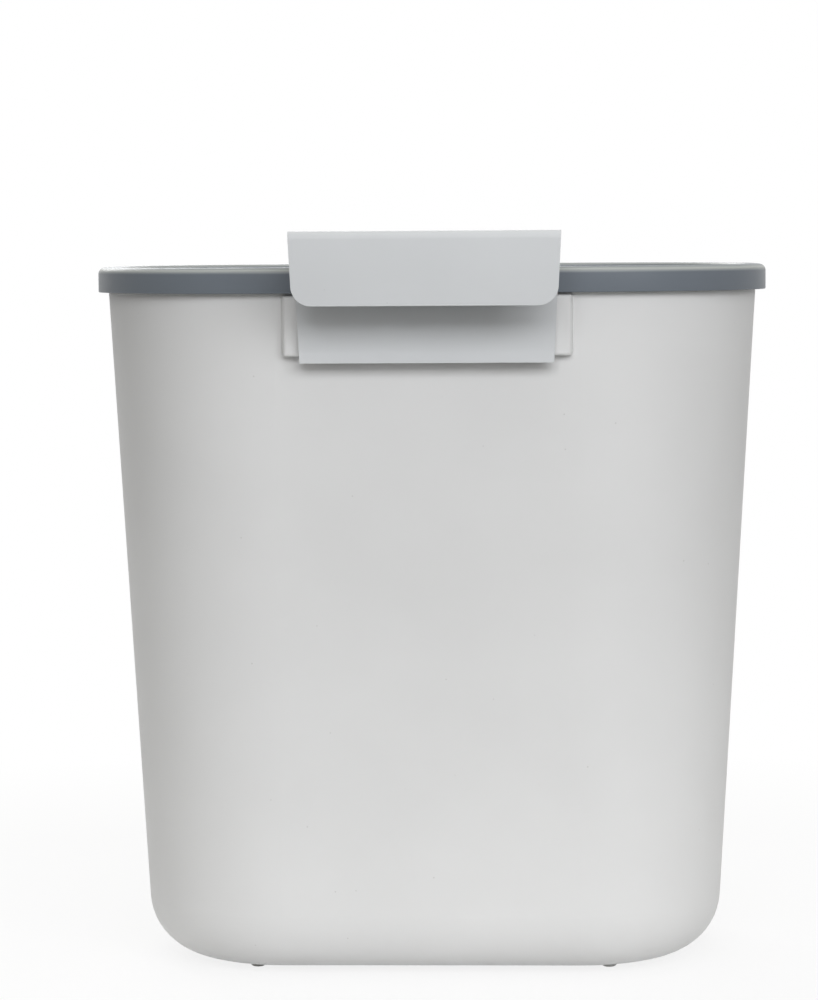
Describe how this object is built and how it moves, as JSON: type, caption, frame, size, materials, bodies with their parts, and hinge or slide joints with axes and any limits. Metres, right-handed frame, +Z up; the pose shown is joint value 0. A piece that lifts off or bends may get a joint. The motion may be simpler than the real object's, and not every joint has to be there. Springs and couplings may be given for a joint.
{
  "type": "hanging kitchen bin",
  "caption": "Open waste bin for a cabinet door: drafted bucket with round corners, lift-off bag ring on its rim, slide-in over-door hook on its back, and small feet.",
  "frame": {"origin": "centre of the whole footprint, on the plane that the feet stand on", "axes": "+Z up, -Y towards the door hanger, +X to the right as the hanger side is seen"},
  "size_m": [0.25, 0.1996, 0.274],
  "materials": {
    "bin_plastic": "fine matt moulded polypropylene, off-white",
    "ring_plastic": "satin moulded plastic, mid grey",
    "hanger_plastic": "satin moulded plastic, light grey",
    "foot_plastic": "soft grey bumper"
  },
  "bodies": {
    "bin": {"bin_body": "bin_plastic", "foot_back_left": "foot_plastic", "foot_back_right": "foot_plastic", "foot_front_left": "foot_plastic", "foot_front_right": "foot_plastic"},
    "ring": {"bag_ring": "ring_plastic"},
    "hanger": {"door_hanger": "hanger_plastic"}
  },
  "joints": [
    {"name": "ring_lift", "type": "slide", "parent": "bin", "child": "ring", "axis": [0, 0, 1], "range_m": [0, 0.06]},
    {"name": "hanger_slide", "type": "slide", "parent": "bin", "child": "hanger", "axis": [0, 0, -1], "range_m": [0, 0.032]}
  ]
}
